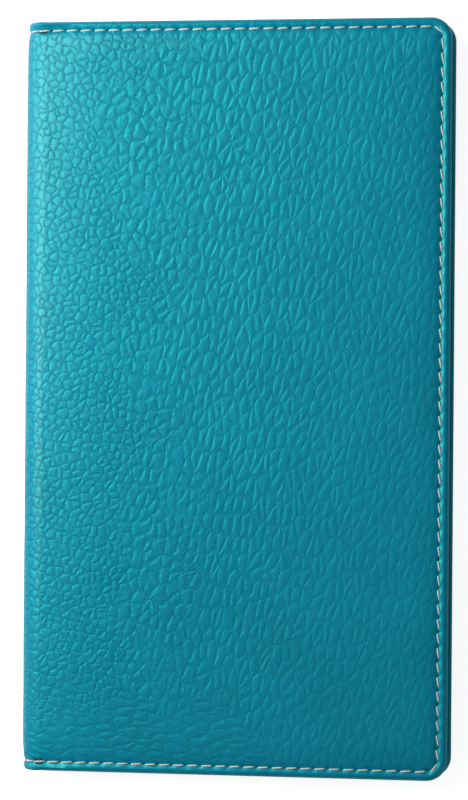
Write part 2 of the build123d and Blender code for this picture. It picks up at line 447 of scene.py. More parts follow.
def grain_share(inset):
    """How much of the grain shows: all in the field, less on the pressed and rolled border."""
    seam = settings("seam")
    return BORDER_GRAIN + (1 - BORDER_GRAIN) * smooth(inset, GRAIN_FROM * seam.inset, GRAIN_TO * seam.inset)


def rounded(x, y, radius):
    """Moves a point of a square-cornered ring onto the same ring with rounded fore corners."""
    inset = inset_of(x, y)
    r = radius - inset
    if r <= 0 or x < 0:
        return x, y
    to_fore, to_end = HALF_WIDTH - inset - x, HALF_HEIGHT - inset - abs(y)
    along = max(to_fore, to_end)
    if along >= r:
        return x, y
    turn = (1 - along / r) * QUARTER / 2
    if to_fore > to_end:
        turn = QUARTER - turn
    way = 1 if y > 0 else -1
    return HALF_WIDTH - radius + r * math.cos(turn), way * (HALF_HEIGHT - radius + r * math.sin(turn))


def face_outwards(bm):
    """Turns the faces of a closed bmesh outwards."""
    bmesh.ops.recalc_face_normals(bm, faces=bm.faces)
    if bm.calc_volume(signed=True) < 0:
        bmesh.ops.reverse_faces(bm, faces=bm.faces)


def new_piece(name, bm, material):
    """Turns a closed bmesh into a finished piece."""
    face_outwards(bm)
    mesh = bpy.data.meshes.new(name)
    bm.to_mesh(mesh)
    bm.free()
    for polygon in mesh.polygons:
        polygon.use_smooth = True
    mesh.set_sharp_from_angle(angle=SHARP_ANGLE)
    mesh.materials.append(material)
    piece = bpy.data.objects.new(name, mesh)
    bpy.context.scene.collection.objects.link(piece)
    return piece


def mark_leather(piece, marks):
    """Keeps what the leather's material reads at each vertex: (place on the flat hide, needle hole for
    painted shade, grain).
    """
    places, holes, grain = zip(*marks)
    attributes = piece.data.attributes
    flat = [value for place in places for value in (*place, 0.0)]
    attributes.new("hide_place", "FLOAT_VECTOR", "POINT").data.foreach_set("vector", flat)
    for name, values in (("needle_hole_shade", holes), ("grain_share", grain)):
        attributes.new(name, "FLOAT", "POINT").data.foreach_set("value", values)


def padded_field():
    """A cover's surface inside its rolled edge, as a bmesh, and the mark of each of its vertices."""
    cover = settings("cover")
    holes = hole_cells()
    left, right, top = BOARD_LOW.x, HALF_WIDTH - EDGE_START, HALF_HEIGHT - EDGE_START
    bm = bmesh.new()
    bmesh.ops.create_grid(
        bm, x_segments=round((right - left) / cover.mesh_step),
        y_segments=round(2 * top / cover.mesh_step), size=1,
    )
    marks = {}
    for v in bm.verts:
        x = left + (v.co.x + 1) / 2 * (right - left)
        y = v.co.y * top
        inset = inset_of(x, y)
        x, y = rounded(x, y, cover.corner_radius)
        depth, hole = surface_depth(x, y, inset, holes)
        v.co = x, y, depth
        marks[v] = ((x, y), hole, grain_share(inset))
    return bm, marks


def roll_edge(bm, marks):
    """Extrudes a cover's field round its edge and back inside, closes it and gives all the marks."""
    cover = settings("cover")
    left = BOARD_LOW.x
    near = left + NEAR_SHARE * cover.mesh_step
    rim = [e for e in bm.edges if e.is_boundary and max(v.co.x for v in e.verts) > near]
    centre = Vector((HALF_WIDTH - cover.corner_radius, HALF_HEIGHT - cover.corner_radius))
    outline = {}
    for v in {v for e in rim for v in e.verts}:
        core = Vector((min(v.co.x, centre.x), math.copysign(min(abs(v.co.y), centre.y), v.co.y)))
        outline[v] = (core, (v.co.xy - core).normalized())
    rings = [(share * EDGE_START, edge_depth(share_in, LEATHER_HIGH.z)) for share, share_in in EDGE_SHARES]
    rings += [(TURN_IN, edge_depth(1.0, LEATHER_HIGH.z)), (TURN_IN, BOARD_HIGH.z)]
    last, run = (EDGE_START, cover.border_depth), 0.0
    for inset, depth in rings:
        made = bmesh.ops.extrude_edge_only(bm, edges=rim)["geom"]
        fresh = {g for g in made if isinstance(g, bmesh.types.BMVert)}
        rim = [g for g in made if isinstance(g, bmesh.types.BMEdge) and fresh.issuperset(g.verts)]
        run += math.hypot(inset - last[0], depth - last[1])
        radius = max(cover.corner_radius - inset, TURN_IN_CORNER)
        moved = Vector((HALF_WIDTH - inset - radius, HALF_HEIGHT - inset - radius))
        stretch = Vector(((moved.x - left) / (centre.x - left), moved.y / centre.y))
        ring = {}
        for v in fresh:
            core, way = next(outline[e.other_vert(v)] for e in v.link_edges if e.other_vert(v) in outline)
            ring[v] = (core, way)
            spot = Vector((left + (core.x - left) * stretch.x, core.y * stretch.y)) + way * radius
            v.co = (*spot, depth)
            flat = core + way * (cover.corner_radius - EDGE_START + run)
            marks[v] = (tuple(flat), 0.0, BORDER_GRAIN)
        outline = ring
        last = (inset, depth)
    ends = [v for e in rim for v in e.verts if v.co.x < near]
    closing = bmesh.ops.contextual_create(bm, geom=ends)["edges"]
    bmesh.ops.contextual_create(bm, geom=rim + closing)
    bmesh.ops.contextual_create(bm, geom=[e for e in bm.edges if e.is_boundary])
    return [marks[v] for v in bm.verts]


def cover_skin(side, material):
    """One cover's leather: the padded field, the seam's groove, the rolled edge and the turn-ins."""
    bm, marks = padded_field()
    marks = roll_edge(bm, marks)
    if side == "front":
        for v in bm.verts:
            v.co.z = THICKNESS - v.co.z
    skin = new_piece(f"{side}_skin", bm, material)
    mark_leather(skin, [
        (place if side == "front" else unrolled_back(*place), hole, grain)
        for place, hole, grain in marks
    ])
    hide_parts(f"{side}_leather")
    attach(skin, f"{side}_cover")


# The spine's outer face, unrolled


def spine_corners():
    """Corners of the spine's outer face, from the back board's edge to the front board's edge."""
    left = BOARD_LOW.x
    points = [Vector((j["pos_m"][0], j["pos_m"][2])) for j in CREASES]
    return [Vector((left, 0)), *points, Vector((left, THICKNESS))]


def path_length(points):
    """Length of a path through points."""
    return sum((b - a).length for a, b in zip(points, points[1:]))


def spine_length():
    """Distance round the spine's outer face, from board edge to board edge."""
    return path_length(spine_corners())


def unrolled_back(x, y):
    """Place of a point of the back cover on the leather unrolled from the front cover."""
    return (2 * BOARD_LOW.x - spine_length() - x, y)


def inward(way):
    """Normal of the spine's outer face, pointing into the shut calendar."""
    return Vector((way.y, -way.x))


def crease_path(number):
    """Stations across one crease: (point, inward normal, distance from the back board's edge)."""
    bend = settings("cover").spine_bend
    corners = spine_corners()
    before, crease, after = corners[number - 1 : number + 2]
    first = before if number == 1 else (before + crease) / 2
    final = after if number == len(CREASES) else (crease + after) / 2
    run = path_length(corners[:number]) + (crease - before).length
    way_in, way_out = (crease - before).normalized(), (after - crease).normalized()
    stations = []
    for k in range(STRAIGHT_STEPS):
        point = first.lerp(crease - way_in * bend, k / STRAIGHT_STEPS)
        stations.append((point, way_in, run - (crease - point).length))
    turn = way_in.angle(way_out)
    radius = bend / math.tan(turn / 2)
    centre = crease - way_in * bend + inward(way_in) * radius
    for k in range(BEND_STEPS + 1):
        part = turn * k / BEND_STEPS
        way = Vector((
            way_in.x * math.cos(part) + way_in.y * math.sin(part),
            way_in.y * math.cos(part) - way_in.x * math.sin(part),
        ))
        stations.append((centre - inward(way) * radius, way, run - bend + 2 * bend * k / BEND_STEPS))
    for k in range(1, STRAIGHT_STEPS + 1):
        point = (crease + way_out * bend).lerp(final, k / STRAIGHT_STEPS)
        stations.append((point, way_out, run + (point - crease).length))
    return [(point, inward(way), along) for point, way, along in stations]


def strip(stations, section):
    """A closed strip swept across stations, as a bmesh, and the marks of its vertices."""
    loops = [section(along) for _, _, along in stations]
    columns = len(loops[0]) + 1
    bm = bmesh.new()
    bmesh.ops.create_grid(bm, x_segments=columns - 1, y_segments=len(stations) - 1, size=1)
    marks = {}
    for k, v in enumerate(bm.verts):
        row, column = divmod(k, columns)
        point, normal, along = stations[row]
        y, depth, grain = loops[row][column % len(loops[row])]
        spot = point + normal * depth
        v.co = (spot.x, y, spot.y)
        marks[v] = ((BOARD_LOW.x - spine_length() + along, y), 0.0, grain)
    bmesh.ops.remove_doubles(bm, verts=bm.verts, dist=WELD)
    bmesh.ops.holes_fill(bm, edges=[e for e in bm.edges if e.is_boundary])
    return bm, [marks[v] for v in bm.verts]


def leather_section(along):
    """Loop of (y, depth, grain) across the spine's leather, from head to tail and back inside."""
    from_board = min(along, spine_length() - along)
    first_flat = BOARD_LOW.x - CREASES[0]["pos_m"][0]
    total = LEATHER_HIGH.z + (FOOT_HIGH - LEATHER_HIGH.z) * smooth(from_board, 0, first_flat)
    top = HALF_HEIGHT - EDGE_START
    steps = round(2 * top / settings("cover").mesh_step)
    no_holes = (settings("seam").pitch, {})
    outer = []
    for k in range(steps + 1):
        y = top - 2 * top * k / steps
        inset = HALF_HEIGHT - abs(y)
        depth, _ = surface_depth(BOARD_LOW.x - from_board, y, inset, no_holes)
        outer.append((y, depth, grain_share(inset)))
    edge = [
        (HALF_HEIGHT - share * EDGE_START, edge_depth(share_in, total), BORDER_GRAIN)
        for share, share_in in EDGE_SHARES
    ]
    inner = HALF_HEIGHT - EDGE_START - HEM_STEP
    tail = [(-y, depth, grain) for y, depth, grain in edge]
    return outer + tail + [(-inner, SKIN, BORDER_GRAIN), (inner, SKIN, BORDER_GRAIN)] + edge[::-1]


def lining_section(along):
    """Loop of (y, depth, grain) across the spine's lining, the same all along."""
    top = LINING_HIGH.y
    return [(top, SKIN, 0.0), (-top, SKIN, 0.0), (-top, FOOT_HIGH, 0.0), (top, FOOT_HIGH, 0.0)]


def crease_strip(number, kind, section, material):
    """Leather or lining over one crease, bending between the two bodies that meet there."""
    bend = settings("cover").spine_bend
    before, crease, after = spine_corners()[number - 1 : number + 2]
    start = crease + (before - crease).normalized() * bend
    end = crease + (after - crease).normalized() * bend
    bm, marks = strip(crease_path(number), section)
    piece = new_piece(f"crease_{kind}_{number}", bm, material)
    if kind == "leather":
        mark_leather(piece, marks)
    if number <= SLAT_COUNT:
        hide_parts(f"spine_{kind}_{number}")
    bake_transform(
        piece, CHAIN[number - 1], CHAIN[number],
        start=(start.x, 0, start.y), end=(end.x, 0, end.y),
    )


# Thread


def add_stitch(bm, spot, way, up, length):
    """One stitch: a short length of thread that arches over the leather and dives in at both ends."""
    seam = settings("seam")
    side = up.cross(way)
    radius = seam.thread_width / 2
    made = bmesh.ops.create_grid(
        bm, x_segments=seam.sides, y_segments=seam.rings, size=1, calc_uvs=True
    )["verts"]
    for v in made:
        round_share, along = (v.co.x + 1) / 2, v.co.y
        turn = 2 * math.pi * round_share
        lift = THREAD_LIFT - THREAD_DIVE * abs(along) ** DIVE_POWER
        centre = spot + way * (along * length / 2) + up * (radius * lift)
        swell = radius * (1 - STITCH_TAPER * along * along)
        v.co = centre + side * (math.cos(turn) * swell) + up * (math.sin(turn) * swell)


def thread_piece(name, stitches, material, node, body):
    """A row of stitches as one piece. Each stitch is (spot, way, up, length)."""
    bm = bmesh.new()
    bm.loops.layers.uv.new("ply")
    for stitch in stitches:
        add_stitch(bm, *stitch)
    bmesh.ops.remove_doubles(bm, verts=bm.verts, dist=WELD)
    bmesh.ops.holes_fill(bm, edges=[e for e in bm.edges if e.is_boundary])
    piece = new_piece(name, bm, material)
    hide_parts(node)
    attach(piece, body)


def cover_threads(side, bed, material):
    """The outer seam of one cover and its inner thread."""
    seam = settings("seam")
    sign = 1 if side == "front" else -1
    level = THICKNESS if side == "front" else 0.0
    outer, inner = [], []
    for x, y, heading in seam_layout():
        turned = heading + seam.tilt + (seam.fore_tilt - seam.tilt) * math.sin(heading) ** 2
        way = Vector((math.cos(turned), math.sin(turned), 0))
        outer.append((Vector((x, y, level - sign * bed)), way, Vector((0, 0, sign)), seam.stitch_length))
        way = Vector((math.cos(heading), math.sin(heading), 0))
        spot = Vector((x, y, level - sign * INNER_SEAM_BED))
        inner.append((spot, way, Vector((0, 0, -sign)), INNER_STITCH * seam.stitch_length))
    thread_piece(f"{side}_seam", outer, material, f"{side}_needle_thread", f"{side}_cover")
    thread_piece(f"{side}_inner_seam", inner, material, f"{side}_bobbin_thread", f"{side}_cover")


def spine_threads(bed, material):
    """The stitches round the spine, one at the head and one at the tail of each slat."""
    seam = settings("seam")
    corners = spine_corners()
    for number in range(1, SLAT_COUNT + 1):
        first, second = corners[number : number + 2]
        flat = (second - first).normalized()
        middle = (first + second) / 2 + inward(flat) * bed
        up = -inward(flat)
        way, up = Vector((flat.x, 0, flat.y)), Vector((up.x, 0, up.y))
        stitches = [
            (Vector((middle.x, y, middle.y)), way, up, seam.stitch_length)
            for y in (HALF_HEIGHT - seam.inset, seam.inset - HALF_HEIGHT)
        ]
        name, body = f"spine_seam_{number}", f"spine_{number}"
        thread_piece(name, stitches, material, f"spine_thread_{number}", body)


# Shader nodes


def add_node(tree, kind, inputs=(), **properties):
    """A node with its properties set, and its inputs given as values or as sockets to link."""
    made = tree.nodes.new(kind)
    for name, value in properties.items():
        setattr(made, name, value)
    for key, value in dict(inputs).items():
        if isinstance(value, bpy.types.NodeSocket):
            tree.links.new(value, made.inputs[key])
        else:
            made.inputs[key].default_value = value
    return made


def calc(tree, operation, *values):
    """The output of a Math node."""
    return add_node(tree, "ShaderNodeMath", enumerate(values), operation=operation).outputs[0]


def calc_vector(tree, operation, *values):
    """The output of a Vector Math node."""
    return add_node(tree, "ShaderNodeVectorMath", enumerate(values), operation=operation).outputs[0]


def product(tree, *values):
    """Values multiplied together."""
    made = values[0]
    for value in values[1:]:
        made = calc(tree, "MULTIPLY", made, value)
    return made


def wave(tree, turns):
    """A rounded wave between 0 and 1, with one crest a turn."""
    return calc(tree, "ABSOLUTE", calc(tree, "SINE", calc(tree, "MULTIPLY", turns, math.pi)))


def ramp(tree, value, low, high, to_low=0.0, to_high=1.0):
    """A value mapped smoothly from low..high to to_low..to_high."""
    inputs = {"Value": value, "From Min": low, "From Max": high, "To Min": to_low, "To Max": to_high}
    return add_node(tree, "ShaderNodeMapRange", inputs, interpolation_type="SMOOTHSTEP").outputs["Result"]


def blend_values(tree, share, first, second):
    """First and second mixed by share."""
    return add_node(tree, "ShaderNodeMix", {0: share, 2: first, 3: second}).outputs[0]


def blend_colours(tree, share, first, second):
    """First and second mixed by share, as colours."""
    return add_node(tree, "ShaderNodeMix", {0: share, 6: first, 7: second}, data_type="RGBA").outputs[2]


def clouds(tree, place, scale, detail, roughness=0.5):
    """Noise between 0 and 1, with scale in clouds a metre."""
    inputs = {"Vector": place, "Scale": scale, "Detail": detail, "Roughness": roughness}
    return add_node(tree, "ShaderNodeTexNoise", inputs).outputs["Fac"]


def axes_of(tree, vector):
    """The X, Y and Z of a vector."""
    return add_node(tree, "ShaderNodeSeparateXYZ", {0: vector}).outputs


def object_place(tree):
    """Object coordinates."""
    return add_node(tree, "ShaderNodeTexCoord").outputs["Object"]


def attribute(tree, name, output):
    """A socket that reads one of the mesh's attributes."""
    return add_node(tree, "ShaderNodeAttribute", attribute_name=name).outputs[output]


def bump(tree, height, depth):
    """A normal from a height between 0 and 1 and its depth in metres."""
    inputs = {"Height": height, "Distance": depth, "Strength": 1.0}
    return add_node(tree, "ShaderNodeBump", inputs).outputs["Normal"]


def saved(store, name, build):
    """The material or node group of that name, built the first time."""
    return store.get(name) or build(name)


def new_group(name, numbers, outputs):
    """An empty node group that reads a place and numbers and puts out numbers, and its two ends."""
    tree = bpy.data.node_groups.new(name, "ShaderNodeTree")
    tree.interface.new_socket(name="Place", in_out="INPUT", socket_type="NodeSocketVector")
    for labels, way in ((numbers, "INPUT"), (outputs, "OUTPUT")):
        for label in labels:
            tree.interface.new_socket(name=label, in_out=way, socket_type="NodeSocketFloat")
    return tree, tree.nodes.new("NodeGroupInput").outputs, tree.nodes.new("NodeGroupOutput").inputs


def place_group(tree, name, build, **inputs):
    """The outputs of a node group placed in a material."""
    group = saved(bpy.data.node_groups, name, build)
    labelled = {label.replace("_", " "): value for label, value in inputs.items()}
    return add_node(tree, "ShaderNodeGroup", labelled, node_tree=group).outputs


def pebble_field(tree, place, width, length, lean, wander):
    """Distance from the creases of one kind of pebble, in pebble widths."""
    turned = add_node(
        tree, "ShaderNodeVectorRotate", {"Vector": place, "Angle": lean}, rotation_type="Z_AXIS"
    ).outputs[0]
    size = add_node(tree, "ShaderNodeCombineXYZ", {"X": width, "Y": length, "Z": 1.0}).outputs[0]
    cells = calc_vector(tree, "DIVIDE", turned, size)
    drift = add_node(
        tree, "ShaderNodeTexNoise", {"Vector": cells, "Scale": DRIFT_SCALE, "Detail": DRIFT_DETAIL},
        noise_dimensions="2D",
    ).outputs["Color"]
    centred = calc_vector(tree, "ADD", drift, (-0.5, -0.5, 0))
    bent = calc_vector(tree, "MULTIPLY_ADD", centred, (wander, wander, 0), cells)
    return add_node(
        tree, "ShaderNodeTexVoronoi", {"Vector": bent, "Scale": 1.0, "Randomness": PEBBLE_RANDOMNESS},
        voronoi_dimensions="2D", feature="DISTANCE_TO_EDGE",
    ).outputs["Distance"]


def grain_group(name):
    """Pebbled leather: round pebbles near the spine, drawn out and leaning beyond it."""
    tree, get, put = new_group(
        name,
        ("Round size", "Width", "Length", "Lean", "Change from", "Change to", "Tail", "Share"),
        ("Height", "Crease", "Mottle"),
    )
    place, round_size, width, drawn_length, lean = (
        get[label] for label in ("Place", "Round size", "Width", "Length", "Lean")
    )
    spot = axes_of(tree, place)
    patch = clouds(tree, place, scale=60.0, detail=2.0)
    fading = clouds(tree, place, scale=420.0, detail=1.0)
    fine = clouds(tree, place, scale=2400.0, detail=3.0, roughness=0.6)
    wandering = calc(tree, "MULTIPLY_ADD", patch, PATCH_WANDER, -PATCH_WANDER / 2)
    x = calc(tree, "ADD", spot["X"], wandering)
    y = calc(tree, "ADD", spot["Y"], wandering)
    depth = ramp(tree, fading, *GROOVE_FADE)
    oval_width = calc(tree, "MULTIPLY", round_size, OVAL_WIDTH)
    oval_length = calc(tree, "MULTIPLY", drawn_length, OVAL_LENGTH)
    sizes = (
        (round_size, round_size, ROUND_LEAN), (oval_width, oval_length, lean),
        (width, drawn_length, lean), (drawn_length, width, TAIL_LEAN),
    )
    domes, lines, nearness = [], [], []
    for size, (wander, groove, rise, crown, line) in zip(sizes, PEBBLE_KINDS):
        field = pebble_field(tree, place, *size, wander)
        plateau = ramp(tree, field, 0.0, calc(tree, "MULTIPLY", depth, groove), 0.0, rise)
        domes.append(calc(tree, "MULTIPLY_ADD", ramp(tree, field, 0.0, 0.5), crown, plateau))
        lines.append(ramp(tree, field, 0.0, line, 1.0, 0.0))
        nearness.append(ramp(tree, field, *NEAR_CREASE))
    oval = ramp(tree, x, get["Change from"], calc(tree, "ADD", get["Change from"], OVAL_CHANGE))
    drawn = ramp(tree, x, get["Change to"], calc(tree, "ADD", get["Change to"], DRAWN_CHANGE))
    tail = ramp(tree, y, get["Tail"], calc(tree, "SUBTRACT", get["Tail"], TAIL_CHANGE))
    tail = product(tree, tail, ramp(tree, x, *TAIL_END))

    def mixed(values):
        """The kinds' values laid over each other, each later one where its kind shows."""
        made = values[0]
        for share, value in zip((oval, drawn, tail), values[1:]):
            made = blend_values(tree, share, made, value)
        return made

    small = calc(tree, "MULTIPLY", width, 0.5)
    cracks = pebble_field(tree, place, small, small, CRACK_LEAN, CRACK_WANDER)
    fewer = ramp(tree, x, get["Change to"], 0.0, to_low=1.0, to_high=0.5)
    split = product(tree, ramp(tree, cracks, *CRACK_EDGE), mixed(nearness), fewer)
    # The crease mask: painted shade that darkens the leather's colour in grooves and cracks; it also makes
    # them rougher and takes the coat off.
    crease = product(tree, mixed(lines), ramp(tree, fading, *LINE_FADE))
    crease = calc(tree, "MAXIMUM", crease, product(tree, split, CRACK_LINE))
    crease = product(tree, crease, ramp(tree, spot["X"], *FORE_LINE))
    relief = product(tree, ramp(tree, spot["X"], *SPINE_RELIEF), ramp(tree, spot["X"], *FORE_RELIEF))
    share = product(tree, get["Share"], relief)
    height = calc(tree, "MULTIPLY_ADD", fine, FINE_RISE, mixed(domes))
    height = calc(tree, "SUBTRACT", height, product(tree, split, CRACK_DEPTH))
    tree.links.new(product(tree, height, share), put["Height"])
    tree.links.new(product(tree, crease, share), put["Crease"])
    tree.links.new(patch, put["Mottle"])
    return tree


def weave_group(name):
    """Plain-woven cloth: height of its threads, and their Shade: painted shade where a thread dips, times
    the slubs' own uneven tone.
    """
    tree, get, put = new_group(name, ("Pitch",), ("Height", "Shade"))
    spot = axes_of(tree, get["Place"])
    turns = [calc(tree, "DIVIDE", spot[axis], get["Pitch"]) for axis in "XY"]
    cells = [calc(tree, "FLOOR", across) for across in turns]
    over = calc(tree, "PINGPONG", calc(tree, "ADD", *cells), 1.0)
    height = blend_values(tree, over, *(wave(tree, across) for across in turns))
    slub = clouds(tree, get["Place"], scale=900.0, detail=2.0)
    tree.links.new(calc(tree, "MULTIPLY_ADD", slub, SLUB_RISE, height), put["Height"])
    # Shade: darker where a thread dips under its neighbour, which is painted shade, and uneven along the
    # slubs, which is the cloth's own tone.
    tree.links.new(product(tree, height, slub), put["Shade"])
    return tree


def fibre_group(name):
    """Fine unevenness of fibre, hide or ink: its tooth, and a mask for its colour."""
    tree, get, put = new_group(name, ("Scale", "Detail", "From", "To"), ("Tooth", "Mottle"))
    tooth = clouds(tree, get["Place"], get["Scale"], get["Detail"])
    tree.links.new(tooth, put["Tooth"])
    tree.links.new(ramp(tree, tooth, get["From"], get["To"]), put["Mottle"])
    return tree


# Materials


def new_material(name, roughness, **sockets):
    """A material with one Principled BSDF, its node tree and that shader."""
    material = bpy.data.materials.new(name)
    material.use_nodes = True
    shader = material.node_tree.nodes["Principled BSDF"]
    shader.inputs["Roughness"].default_value = roughness
    for label, value in sockets.items():
        shader.inputs[label.replace("_", " ")].default_value = value
    return material, material.node_tree, shader


def feed(shader, **sockets):
    """Links values to a shader's inputs."""
    for label, value in sockets.items():
        shader.id_data.links.new(value, shader.inputs[label.replace("_", " ")])


def tones(tree, share, colour, dark, light):
    """A colour between a darker and a lighter tone of it, by share."""
    return blend_colours(tree, share, opaque(colour, dark), opaque(colour, light))


def opaque(colour, factor=1.0):
    """A colour with its alpha, made lighter or darker by a factor."""
    return (*(min(1.0, channel * factor) for channel in colour), 1.0)


def leather_material(name):
    """Grained leather of the cover and spine, with painted shade in its creases and needle holes."""
    look = settings("leather")
    material, tree, shader = new_material(
        name, look.roughness, IOR=LEATHER_IOR, Specular_Tint=LEATHER_TINT,
        Coat_Roughness=look.coat_roughness,
    )
    share = attribute(tree, "grain_share", "Fac")
    grain = place_group(
        tree, "Pebbled leather", grain_group, Place=attribute(tree, "hide_place", "Vector"), Share=share,
        Round_size=look.pebble_size, Width=look.drawn_width, Length=look.drawn_length,
        Lean=look.drawn_lean, Change_from=look.change_from, Change_to=look.change_to, Tail=look.tail,
    )
    mottle = ramp(tree, grain["Mottle"], *MOTTLE)
    pebble = tones(tree, mottle, look.colour, dark=0.95, light=1.05)
    # Painted shade: the creases and cracks are coloured darker.
    crease_shaded = blend_colours(tree, grain["Crease"], pebble, opaque(look.crease_colour))
    # Painted shade: the needle holes are coloured darker still than the creases.
    hole = attribute(tree, "needle_hole_shade", "Fac")
    in_crease = ramp(tree, grain["Crease"], 0.0, CREASE_FULL)
    feed(
        shader,
        Base_Color=blend_colours(tree, hole, crease_shaded, opaque(look.crease_colour, HOLE_SHADE_TONE)),
        Roughness=calc(tree, "MULTIPLY_ADD", in_crease, look.crease_roughness, look.roughness),
        Coat_Weight=product(tree, calc(tree, "MULTIPLY_ADD", in_crease, -look.coat, look.coat), share),
        Normal=bump(tree, grain["Height"], look.relief),
    )
    return material


def cloth_material(name):
    """Woven lining cloth."""
    look = settings("inside")
    material, tree, shader = new_material(name, roughness=0.85, Sheen_Weight=0.2)
    weave = place_group(tree, "Plain weave", weave_group, Place=object_place(tree), Pitch=look.weave_pitch)
    # The weave's Shade darkens the lining where its threads dip: painted shade.
    feed(
        shader,
        Base_Color=tones(tree, weave["Shade"], look.lining, dark=0.6, light=1.15),
        Normal=bump(tree, weave["Height"], look.weave_rise),
    )
    return material


def pocket_material(name):
    """Thin, smooth leather with a fine grain."""
    material, tree, shader = new_material(name, roughness=0.5)
    place = object_place(tree)
    cells = add_node(
        tree, "ShaderNodeTexVoronoi", {"Vector": place, "Scale": POCKET_GRAIN}, feature="SMOOTH_F1"
    ).outputs["Distance"]
    cloud = place_group(tree, "Fibre", fibre_group, Place=place, Scale=70.0, Detail=3.0, From=0.2, To=0.8)
    feed(
        shader,
        Base_Color=tones(tree, cloud["Mottle"], settings("inside").pocket, dark=0.95, light=1.04),
        Normal=bump(tree, cells, depth=0.04 * MM),
    )
    return material


def fibre_material(name, colour, scale, roughness):
    """Pressed fibre, foam or card: a faint mottle and tooth."""
    material, tree, shader = new_material(name, roughness)
    fibre = place_group(
        tree, "Fibre", fibre_group, Place=object_place(tree), Scale=scale, Detail=4.0, From=0.3, To=0.7
    )
    feed(
        shader,
        Base_Color=tones(tree, fibre["Mottle"], colour, dark=0.92, light=1.04),
        Normal=bump(tree, fibre["Tooth"], depth=0.02 * MM),
    )
    return material


def thread_material(name):
    """Waxed sewing thread, its plies twisted round it, with painted shade in the grooves between them."""
    material, tree, shader = new_material(name, roughness=0.55, Sheen_Weight=0.25)
    spot = axes_of(tree, add_node(tree, "ShaderNodeUVMap", uv_map="ply").outputs["UV"])
    turns = calc(tree, "MULTIPLY_ADD", spot["Y"], PLY_TURNS, calc(tree, "MULTIPLY", spot["X"], PLIES))
    plies = wave(tree, turns)
    # Painted shade: the thread's colour darkens where the plies' bump dips into the grooves between them.
    feed(
        shader,
        Base_Color=tones(tree, plies, settings("inside").thread, dark=0.7, light=1.0),
        Normal=bump(tree, plies, depth=0.06 * MM),
    )
    return material


def paper_material(name):
    """Calendar paper: uncoated, ruled in a row for each day."""
    look = settings("inside")
    material, tree, shader = new_material(name, roughness=0.8)
    place = object_place(tree)
    spot = axes_of(tree, place)
    fibre = place_group(tree, "Fibre", fibre_group, Place=place, Scale=900.0, Detail=4.0, From=0.3, To=0.7)
    above_foot = calc(tree, "SUBTRACT", spot["Y"], PAGE_FOOT)
    half_page = DAYS * look.line_pitch / 2
    from_row = calc(tree, "PINGPONG", calc(tree, "DIVIDE", above_foot, look.line_pitch), 0.5)
    from_side = calc(tree, "ABSOLUTE", spot["X"])
    from_margin = calc(tree, "ABSOLUTE", calc(tree, "SUBTRACT", from_side, MARGIN_X))
    from_middle = calc(tree, "ABSOLUTE", calc(tree, "SUBTRACT", above_foot, half_page))
    row, margin, within, across = (
        calc(tree, "LESS_THAN", distance, limit)
        for distance, limit in (
            (from_row, RULE_WIDTH / (2 * look.line_pitch)), (from_margin, RULE_WIDTH / 2),
            (from_middle, half_page + RULE_WIDTH), (from_side, PAGE_HALF),
        )
    )
    ruled = product(tree, calc(tree, "MAXIMUM", row, margin), within, across, RULE_INK)
    paper = tones(tree, fibre["Mottle"], look.paper, dark=0.96, light=1.02)
    feed(
        shader,
        Base_Color=blend_colours(tree, ruled, paper, opaque(look.ink)),
        Normal=bump(tree, fibre["Tooth"], depth=0.01 * MM),
    )
    return material


def ink_material(name):
    """Printing ink, a little uneven."""
    material, tree, shader = new_material(name, roughness=0.6)
    patchy = place_group(tree, "Fibre", fibre_group, Place=object_place(tree), Scale=2500.0, Detail=2.0)
    feed(shader, Base_Color=tones(tree, patchy["Tooth"], settings("inside").ink, dark=0.8, light=1.5))
    return material


# Pages


def add_print(bm, words, size, spacing, spot, z, facing_up):
    """Adds lines of figures to a bmesh, lying on the page at a height z."""
    text = bpy.data.curves.new("figures", "FONT")
    text.body = words
    text.size = size
    text.space_line = spacing / size
    text.align_x = "RIGHT"
    text.resolution_u = 2
    text.extrude = INK_RISE / 2
    carrier = bpy.data.objects.new("figures", text)
    bpy.context.scene.collection.objects.link(carrier)
    mesh = bpy.data.meshes.new_from_object(carrier.evaluated_get(bpy.context.evaluated_depsgraph_get()))
    turn = Matrix.Identity(4) if facing_up else Matrix.Rotation(math.pi, 4, "Y")
    side = 1 if facing_up else -1
    mesh.transform(Matrix.Translation((side * spot[0], spot[1], z)) @ turn)
    bm.from_mesh(mesh)
    bpy.data.objects.remove(carrier)
    bpy.data.curves.remove(text)
    bpy.data.meshes.remove(mesh)


def print_pages(ink):
    """Day and month numbers on both sides of each leaf."""
    look = settings("inside")
    days = "\n".join(str(day + 1) for day in range(DAYS))
    page_top = PAGE_FOOT + DAYS * look.line_pitch
    first_row = page_top - 0.5 * look.line_pitch - FIGURE_DROP * look.figure_size
    for k, node in enumerate(LEAF_NODES):
        low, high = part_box(node)
        for side, facing_up, z in (("front", True, high.z + INK_GAP), ("back", False, low.z - INK_GAP)):
            month = 2 * (len(LEAF_NODES) - k) - facing_up
            bm = bmesh.new()
            add_print(bm, days, look.figure_size, look.line_pitch, (FIGURE_X, first_row), z, facing_up)
            add_print(
                bm, str(month), MONTH_SIZE * look.figure_size, MM, (FIGURE_X, page_top + MONTH_RISE), z,
                facing_up,
            )
            bmesh.ops.remove_doubles(bm, verts=bm.verts, dist=WELD)
            figures = new_piece(f"leaf_{k + 1}_figures_{side}", bm, ink)
            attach(figures, node.removeprefix("calendar_"))


def repaint(nodes, material):
    """Gives CAD nodes a material."""
    for name in nodes:
        materials = frame["nodes"][name].data.materials
        materials.clear()
        materials.append(material)


# Stage


def add_to_scene(name, data):
    """An object in the scene."""
    made = bpy.data.objects.new(name, data)
    bpy.context.scene.collection.objects.link(made)
    return made


